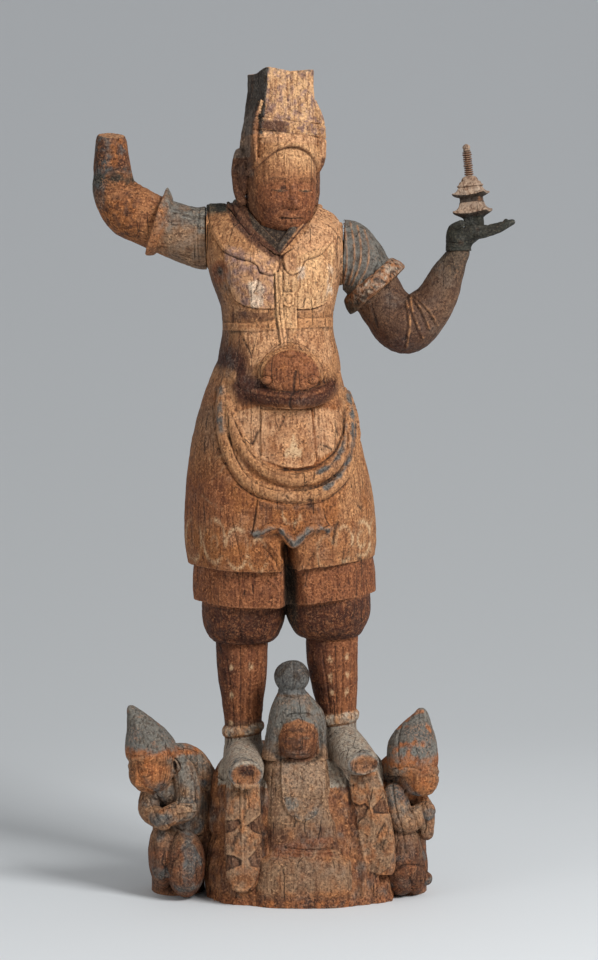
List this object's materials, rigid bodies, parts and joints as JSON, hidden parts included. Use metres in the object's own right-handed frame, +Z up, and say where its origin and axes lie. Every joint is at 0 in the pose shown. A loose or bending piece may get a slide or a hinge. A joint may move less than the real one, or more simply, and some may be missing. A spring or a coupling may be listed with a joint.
{
  "type": "guardian king figure",
  "caption": "Carved wooden guardian king, one forearm broken off and a pagoda on the other palm, standing on an earth goddess between kneeling attendants on a rock plinth.",
  "frame": {"origin": "on the floor, under the middle of the whole object's box", "axes": "+Z up; the figure's front faces -Y; +X is the viewer's right, the side of the pagoda"},
  "size_m": [0.6072, 0.2816, 1.1787],
  "materials": {
    "worn_wood": "old carved wood, matt, with traces of paint and gilding, vertical grain and worm holes",
    "dark_wood": "old carved wood, darkened grey-green, matt",
    "grey_wood": "old carved wood, matt, with grey-mauve paint left on the roofs"
  },
  "bodies": {
    "root": {"figure_and_plinth": "worn_wood", "right_arm": "worn_wood", "left_arm": "dark_wood", "left_hand": "dark_wood", "pagoda": "grey_wood"}
  },
  "joints": []
}
